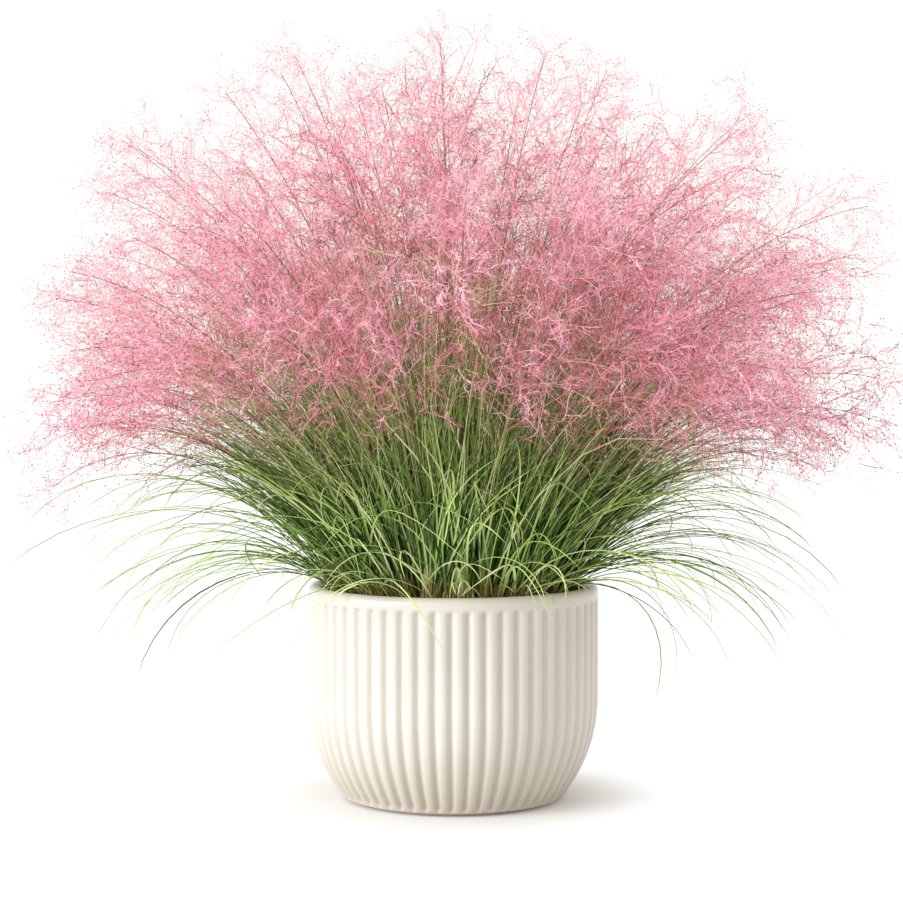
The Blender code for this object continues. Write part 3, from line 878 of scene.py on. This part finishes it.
def flute_fade(height):
    """How much of their depth the flutes have at a height."""
    (low, low_full), (high_full, high) = FLUTE_FADE_LOW, FLUTE_FADE_HIGH
    return (smooth_step((height - low) / (low_full - low))
            * smooth_step((high - height) / (high - high_full)))


def make_pot(material):
    """The fluted pot with a smooth rolled rim."""
    profile, wall = pot_profile()
    around = FLUTES * POINTS_PER_FLUTE
    azimuth = GROOVE_AZIMUTH + FULL_TURN * np.arange(around) / around
    fluted = np.zeros(len(profile))
    fluted[wall] = flute_fade(profile[:, 1])[wall]
    radius = profile[:, :1] - FLUTE_DEPTH * fluted[:, None] * flute_shape(around)[None]
    rings = round_axis(radius, azimuth, profile[:, 1:])[1:-1]
    run = np.concatenate(((0.0,), np.cumsum(np.hypot(*np.diff(profile, axis=0).T))))
    v = (0.01 + 0.98 * run / run[-1])[1:-1]
    u = 0.005 + 0.99 * np.arange(around + 1) / around
    u0, u1 = u[:-1], u[1:]
    v0, v1 = v[:-1, None], v[1:, None]
    skin = Skin()
    first = skin.add_points(rings.reshape(-1, 3))
    skin.add_faces(first + ring_faces(len(rings), around),
                   corner_places((u0, u1, u1, u0), (v0, v0, v1, v1), 2))
    for ring, height, level, order in ((0, profile[0, 1], 0.005, (0, 2, 1)),
                                       (len(rings) - 1, profile[-1, 1], 0.995, (0, 1, 2))):
        hub = skin.add_points(np.array(((0.0, 0.0, height),)))
        faces = fan_faces(hub, ring * around, around)
        places = corner_places((0.5 * (u0 + u1), u0, u1), (level, v[ring], v[ring]))
        skin.add_faces(faces[:, order], places[:, order])
    piece = skin.piece("pot_glazed", material)
    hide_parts("pot")
    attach(piece, "root")


def add_soil_body(skin, rng):
    """The soil's lumpy top, its sides along the pot's inside and its bottom."""
    radii = np.linspace(0.0, MOUTH_RADIUS - SOIL_EDGE_GAP, SOIL_RINGS)[1:]
    azimuth = FULL_TURN * np.arange(SOIL_AROUND) / SOIL_AROUND
    x = radii[:, None] * np.cos(azimuth)
    y = radii[:, None] * np.sin(azimuth)
    lumps = sum(rng.uniform(-1, 1) * np.sin(x * fx + p) * np.cos(y * fy + q)
                for fx, fy, p, q in rng.uniform(LUMP_LOWS, LUMP_HIGHS, (LUMPS, 4)))
    z = SOIL_LEVEL - SOIL_DIP + LUMP_HEIGHT * lumps / 2.0 + rng.normal(0, GRAIN, x.shape)
    z[-1] = SOIL_LEVEL - SOIL_EDGE_DIP
    sides = np.stack([round_axis(r, azimuth, h) for h, r in SOIL_WALLS])
    rings = np.concatenate((np.stack((x, y, z), -1), sides))
    steps = len(SOIL_WALLS)
    spread = np.concatenate((0.8 * radii / radii[-1],
                             0.8 + 0.2 * np.arange(1, steps + 1) / steps))
    flat = 0.5 + 0.49 * spread[:, None, None] * np.stack((np.cos(azimuth), np.sin(azimuth)), -1)
    flat = flat.reshape(-1, 2)
    first = skin.add_points(rings.reshape(-1, 3))
    faces = first + ring_faces(len(rings), SOIL_AROUND)[:, (0, 3, 2, 1)]
    skin.add_faces(faces, flat[faces])
    for ring, height, order in ((0, SOIL_LEVEL, (0, 1, 2)),
                                (len(rings) - 1, SOIL_WALLS[-1][0], (0, 2, 1))):
        hub = skin.add_points(np.array(((0.0, 0.0, height),)))
        flat = np.concatenate((flat, ((0.5, 0.5),)))
        faces = fan_faces(hub, ring * SOIL_AROUND, SOIL_AROUND)[:, order]
        skin.add_faces(faces, flat[faces])


def add_chips(skin, rng):
    """Chips of bark that lie in the soil's top."""
    a = rng.uniform(0, FULL_TURN, CHIPS)
    r = (MOUTH_RADIUS - 0.006) * np.sqrt(rng.uniform(0, 1, CHIPS))
    centre = round_axis(r, a, SOIL_LEVEL + rng.uniform(*CHIP_HEIGHTS, CHIPS))
    size = rng.uniform(*CHIP_SIZES, (CHIPS, 3)) * np.array(CHIP_SHAPE)
    turn = normalised(rng.normal(size=(CHIPS, 3)) * np.array((1, 1, 0.3)))
    side = normalised(np.cross(turn, rng.normal(size=(CHIPS, 3))))
    third = np.cross(turn, side)
    corners = np.array([(sx, sy, sz) for sz in (-1, 1) for sy in (-1, 1) for sx in (-1, 1)])
    jitter = rng.uniform(0.7, 1.1, (CHIPS, 8, 1))
    box = (centre[:, None] + jitter * (size[:, None, :1] * corners[None, :, :1] * turn[:, None]
           + size[:, None, 1:2] * corners[None, :, 1:2] * side[:, None]
           + size[:, None, 2:] * corners[None, :, 2:] * third[:, None]))
    quads = np.array(((0, 2, 3, 1), (4, 5, 7, 6), (0, 1, 5, 4), (2, 6, 7, 3), (0, 4, 6, 2),
                      (1, 3, 7, 5)))
    first = skin.add_points(box.reshape(-1, 3)) + 8 * np.arange(CHIPS)[:, None, None]
    spot = 0.5 + 0.39 * centre[:, :2] / MOUTH_RADIUS
    places = spot[:, None, None] + UV_HALF * np.array(((-1, -1), (1, -1), (1, 1), (-1, 1)))
    skin.add_faces((first + quads).reshape(-1, 4),
                   np.broadcast_to(places, (CHIPS, len(quads), 4, 2)))


def make_soil(material):
    """Crumbly potting soil that fills the pot."""
    rng = np.random.default_rng((DETAIL_SEED, SOIL_DRAWS))
    skin = Skin()
    add_soil_body(skin, rng)
    add_chips(skin, rng)
    piece = skin.piece("soil_crumbs", material, smooth=False)
    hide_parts("soil")
    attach(piece, "root")


# Materials
class Nodes:
    """A material's nodes and links. A value is a socket, a colour or a number."""

    def __init__(self, name):
        self.material = bpy.data.materials.new(name)
        self.material.use_nodes = True
        self.tree = self.material.node_tree
        self.shader = self.tree.nodes["Principled BSDF"]
        self.output = self.tree.nodes["Material Output"]

    def put(self, value, socket):
        """Give a socket its value."""
        if hasattr(value, "is_linked"):
            self.tree.links.new(value, socket)
        elif isinstance(value, tuple):
            socket.default_value = (*value, 1.0)
        else:
            socket.default_value = value

    def node(self, kind, values=None, **settings):
        """Add a node, with values by the names or numbers of its inputs."""
        made = self.tree.nodes.new(kind)
        for key, setting in settings.items():
            setattr(made, key, setting)
        for key, value in (values or {}).items():
            self.put(value, made.inputs[key])
        return made

    def ramp(self, value, stops):
        """A colour ramp over a value."""
        made = self.node("ShaderNodeValToRGB", {"Fac": value})
        elements = made.color_ramp.elements
        while len(elements) < len(stops):
            elements.new(0.5)
        for element, (position, colour) in zip(elements, stops):
            element.position = position
            element.color = (*colour, 1.0)
        return made.outputs["Color"]

    def mix(self, factor, a, b, blend="MIX"):
        """A mix of two colours."""
        return self.node("ShaderNodeMix", {0: factor, 6: a, 7: b}, data_type="RGBA",
                         blend_type=blend).outputs[2]

    def ease(self, value, low, high):
        """Ease from 0 to 1 while a value goes from low to high."""
        return self.node("ShaderNodeMapRange", {"Value": value, "From Min": low, "From Max": high},
                         interpolation_type="SMOOTHSTEP").outputs[0]

    def span(self, value, low, high):
        """Go from low to high while a value goes from 0 to 1."""
        values = {"Value": value, "To Min": low, "To Max": high}
        return self.node("ShaderNodeMapRange", values).outputs[0]

    def object_place(self):
        """The place in the piece's own axes."""
        return self.node("ShaderNodeTexCoord").outputs["Object"]

    def noise(self, place, scale, detail):
        """Noise at a place."""
        values = {"Vector": place, "Scale": scale, "Detail": detail}
        return self.node("ShaderNodeTexNoise", values).outputs["Fac"]

    def map_parts(self):
        """The two parts of the place on the piece's map."""
        place = self.node("ShaderNodeUVMap", uv_map=UV_NAME).outputs["UV"]
        parts = self.node("ShaderNodeSeparateXYZ", {0: place})
        return parts.outputs["X"], parts.outputs["Y"]

    def surface(self, colour, roughness, specular):
        """The surface's colour and sheen."""
        self.put(colour, self.shader.inputs["Base Color"])
        self.put(roughness, self.shader.inputs["Roughness"])
        self.put(specular, self.shader.inputs["Specular IOR Level"])

    def bump(self, height, strength, distance):
        """Fine relief from a height."""
        values = {"Height": height, "Strength": strength, "Distance": distance}
        self.put(self.node("ShaderNodeBump", values).outputs[0], self.shader.inputs["Normal"])

    def see_through(self, colour, share):
        """Let part of the light through a thin surface."""
        glow = self.node("ShaderNodeBsdfTranslucent", {"Color": colour}).outputs[0]
        mixed = self.node("ShaderNodeMixShader", {0: share, 1: self.shader.outputs[0], 2: glow})
        self.put(mixed.outputs[0], self.output.inputs["Surface"])


def plume_material():
    """Green to tan stems, pink branches that pale outwards and dark seed heads."""
    nodes = Nodes("pink plumes")
    u, v = nodes.map_parts()
    # The stems' dark green from 0.03 to 0.14 is their own colour deepened by painted shade, for the
    # dark gaps low in the haze.
    stem = nodes.ramp(u, ((0.0, (0.22, 0.17, 0.07)), (0.03, (0.030, 0.062, 0.013)),
                          (0.14, (0.052, 0.115, 0.022)), (0.20, (0.12, 0.14, 0.045)),
                          (0.29, (0.20, 0.10, 0.07)), (0.40, (0.26, 0.09, 0.09))))
    olive = nodes.ramp(u, ((0.0, (0.30, 0.27, 0.11)), (0.03, (0.15, 0.29, 0.05)),
                           (0.22, (0.27, 0.42, 0.10)), (0.40, (0.28, 0.20, 0.12))))
    pale = nodes.ramp(u, ((0.0, (0.50, 0.43, 0.22)), (0.12, (0.56, 0.62, 0.27)),
                          (0.20, (0.84, 0.70, 0.44)), (0.40, (0.54, 0.31, 0.24))))
    greenness = nodes.ramp(v, ((0.25, WHITE), (0.45, BLACK)))
    paleness = nodes.ramp(v, ((0.52, BLACK), (0.76, WHITE)))
    stem = nodes.mix(paleness, nodes.mix(greenness, stem, olive), pale)
    shade = nodes.ramp(v, ((0.0, (0.22, 0.09, 0.09)), (0.20, (0.56, 0.19, 0.22)),
                           (0.42, (0.89, 0.33, 0.41)), (0.70, (0.92, 0.48, 0.57)),
                           (1.0, (0.97, 0.66, 0.72))))
    tint = nodes.ramp(u, ((0.40, (0.70, 0.56, 0.54)), (0.52, (0.96, 0.86, 0.86)),
                          (0.62, (1.0, 0.97, 0.97)), (0.87, (0.94, 0.97, 0.98)),
                          (0.93, (0.50, 0.34, 0.42)), (1.0, (0.36, 0.24, 0.31))))
    plume = nodes.mix(1.0, shade, tint, "MULTIPLY")
    pink = nodes.node("ShaderNodeMath", {0: u, 1: PINK_FROM}, operation="GREATER_THAN")
    colour = nodes.mix(pink.outputs[0], stem, plume)
    nodes.surface(colour, 0.6, 0.15)
    nodes.see_through(colour, 0.35)
    return nodes.material


def leaf_material():
    """Straw at the foot, green along the blade and olive at the tip, each blade its own tone, with
    painted shade: the darkest blades near black and the lower part of every blade darker.
    """
    nodes = Nodes("leaf blades")
    u, v = nodes.map_parts()
    # Painted shade: the stops at 0.09 and 0.42 are near black, darker than a leaf's own green, so
    # many blades stand for the deep shadow between blades; below them is straw, above them green to
    # pale yellow-green.
    green = nodes.ramp(v, ((0.0, (0.50, 0.39, 0.17)), (0.06, (0.40, 0.36, 0.14)),
                           (0.09, (0.004, 0.013, 0.003)), (0.42, (0.024, 0.068, 0.009)),
                           (0.62, (0.20, 0.36, 0.060)), (0.84, (0.60, 0.78, 0.26)),
                           (1.0, (0.98, 1.0, 0.56))))
    foot = nodes.ramp(u, ((0.0, WHITE), (0.08, (0.75, 0.75, 0.75)), (0.20, BLACK)))
    # Painted shade: the lower part of each blade, deep in the clump by the rim, is darkened.
    painted_low_shade = nodes.ramp(u, ((0.0, (0.58, 0.60, 0.60)), (0.25, (0.62, 0.65, 0.65)),
                            (0.55, WHITE)))
    green = nodes.mix(1.0, green, painted_low_shade, "MULTIPLY")
    colour = nodes.mix(foot, green, (0.45, 0.30, 0.09))
    tip = nodes.ramp(u, ((0.55, BLACK), (1.0, (0.6, 0.6, 0.6))))
    colour = nodes.mix(tip, colour, (0.25, 0.29, 0.10))
    nodes.surface(colour, 0.42, 0.08)
    nodes.see_through(colour, 0.06)
    return nodes.material


def glaze_material():
    """Warm white glaze with faint specks, and painted shade that makes it darker and warmer towards
    the foot.
    """
    nodes = Nodes("warm white glaze")
    place = nodes.object_place()
    colour = nodes.ramp(nodes.noise(place, 14.0, 4.0), ((0.3, (0.553, 0.516, 0.456)),
                                                        (0.7, (0.587, 0.550, 0.494))))
    height = nodes.node("ShaderNodeSeparateXYZ", {0: place}).outputs["Z"]
    # Painted shade: the glaze turns darker and warmer from the belly down to the foot, where less
    # light reaches.
    painted_foot_shade = nodes.mix(nodes.ease(height, 0.0, BELLY_HEIGHT), (0.85, 0.81, 0.76), WHITE)
    colour = nodes.mix(1.0, colour, painted_foot_shade, "MULTIPLY")
    specks = nodes.ramp(nodes.noise(place, 420.0, 1.0),
                        ((0.70, BLACK), (0.78, (0.35, 0.35, 0.35))))
    colour = nodes.mix(specks, colour, (0.62, 0.52, 0.40))
    ripple = nodes.noise(place, 60.0, 3.0)
    nodes.surface(colour, nodes.span(ripple, 0.16, 0.30), 0.5)
    nodes.bump(ripple, 0.10, 0.0008)
    return nodes.material


def soil_material():
    """Dark peat with brown bark."""
    nodes = Nodes("dark potting soil")
    grain = nodes.noise(nodes.object_place(), 190.0, 6.0)
    colour = nodes.ramp(grain, ((0.35, (0.018, 0.012, 0.008)), (0.55, (0.060, 0.038, 0.024)),
                                (0.72, (0.16, 0.10, 0.055))))
    nodes.surface(colour, 0.95, 0.5)
    nodes.bump(grain, 0.7, 0.001)
    return nodes.material


def floor_material():
    """Pale ground that is evenly bright, apart from the pot's soft contact shadow."""
    nodes = Nodes("pale ground")
    distance = nodes.node("ShaderNodeVectorMath", {0: nodes.object_place()},
                          operation="LENGTH").outputs["Value"]
    away = nodes.ease(distance, FOOT_RADIUS, FLOOR_SHADE_RADIUS)
    nodes.surface(nodes.mix(away, (0.72, 0.71, 0.70), (0.12, 0.12, 0.12)), 0.9, 0.1)
    glow = nodes.node("ShaderNodeMath", {0: away, 1: 0.88, 2: 0.08}, operation="MULTIPLY_ADD")
    nodes.put(glow.outputs[0], nodes.shader.inputs["Emission Strength"])
    nodes.put(WHITE, nodes.shader.inputs["Emission Color"])
    return nodes.material


# Stage
def make_stage():
    """Camera, white surroundings, a soft key light from the upper left and a pale floor."""
    camera = add_object("camera", bpy.data.cameras.new("camera"))
    camera.data.sensor_width = SENSOR_WIDTH
    camera.data.lens = LENS
    camera.location = CAMERA_PLACE
    camera.rotation_euler = (math.pi / 2.0 - CAMERA_PITCH, 0.0, 0.0)
    camera.data.clip_end = CLIP_END
    bpy.context.scene.camera = camera

    world = bpy.data.worlds.new("white surroundings")
    world.use_nodes = True
    background = world.node_tree.nodes["Background"]
    background.inputs["Color"].default_value = (*WORLD_COLOUR, 1.0)
    background.inputs["Strength"].default_value = WORLD_STRENGTH
    bpy.context.scene.world = world

    key = bpy.data.lights.new("key", "SUN")
    key.energy = SUN_STRENGTH
    key.angle = SUN_SPREAD
    key.color = SUN_COLOUR
    lamp = add_object("key", key)
    lamp.rotation_euler = Vector(SUN_DIRECTION).to_track_quat("-Z", "Y").to_euler()

    corners = [(FLOOR_HALF * x, FLOOR_HALF * y, 0) for x, y in ((-1, -1), (1, -1), (1, 1), (-1, 1))]
    mesh = bpy.data.meshes.new("floor")
    mesh.from_pydata(corners, [], [(0, 1, 2, 3)])
    mesh.materials.append(floor_material())
    floor = add_object("floor", mesh)
    bpy.context.scene.view_settings.view_transform = "Standard"


make_stage()
make_pot(glaze_material())
make_soil(soil_material())
make_leaves(leaf_material())
make_sprays(plume_material())

bpy.context.view_layer.update()
